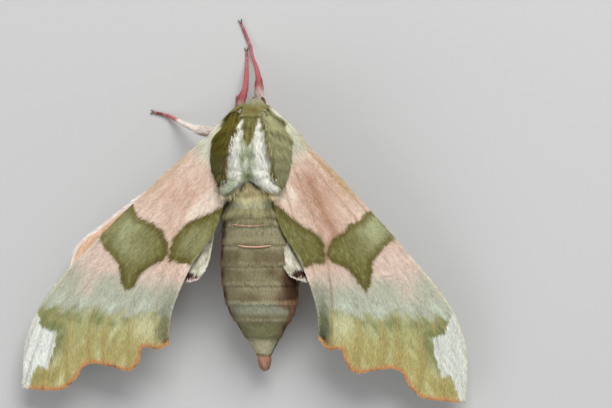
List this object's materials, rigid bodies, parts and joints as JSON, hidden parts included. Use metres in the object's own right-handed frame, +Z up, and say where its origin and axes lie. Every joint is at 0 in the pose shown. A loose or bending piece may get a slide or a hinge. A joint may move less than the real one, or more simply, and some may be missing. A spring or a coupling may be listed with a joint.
{
  "type": "hawk moth",
  "caption": "Life-size still model of a resting hawk moth: furred body, scalloped forewings swept back over the hindwings, folded feelers and bent legs.",
  "frame": {"origin": "middle of the moth's outline, on the floor that its feet stand on", "axes": "+Z up; the head faces -Y; +X is the moth's own left"},
  "size_m": [0.0492, 0.0414, 0.0123],
  "materials": {
    "head_coat": "matt hair-scales, olive",
    "eye": "dark, glossy",
    "palp_coat": "matt hair-scales, pinkish",
    "feeler": "pale scaled shaft",
    "thorax_coat": "matt hair-scales, white green and olive",
    "tegula_coat": "matt hair-scales, olive",
    "abdomen_coat": "flat scales, olive brown",
    "tail_coat": "short tuft, reddish",
    "forewing_scales": "flat scales, pink and olive pattern",
    "hindwing_scales": "flat scales, peach and cream",
    "leg_coat": "flat scales, rose red"
  },
  "bodies": {
    "root": {"abdomen": "abdomen_coat", "anal_tuft": "tail_coat", "antenna_left": "feeler", "antenna_right": "feeler", "collar": "head_coat", "eye_left": "eye", "eye_right": "eye", "foreleg_left": "leg_coat", "foreleg_right": "leg_coat", "forewing_left": "forewing_scales", "forewing_right": "forewing_scales", "head": "head_coat", "hindleg_left": "leg_coat", "hindleg_right": "leg_coat", "hindwing_left": "hindwing_scales", "hindwing_right": "hindwing_scales", "midleg_left": "leg_coat", "midleg_right": "leg_coat", "palp_left": "palp_coat", "palp_right": "palp_coat", "tegula_left": "tegula_coat", "tegula_right": "tegula_coat", "thorax": "thorax_coat"}
  },
  "joints": []
}
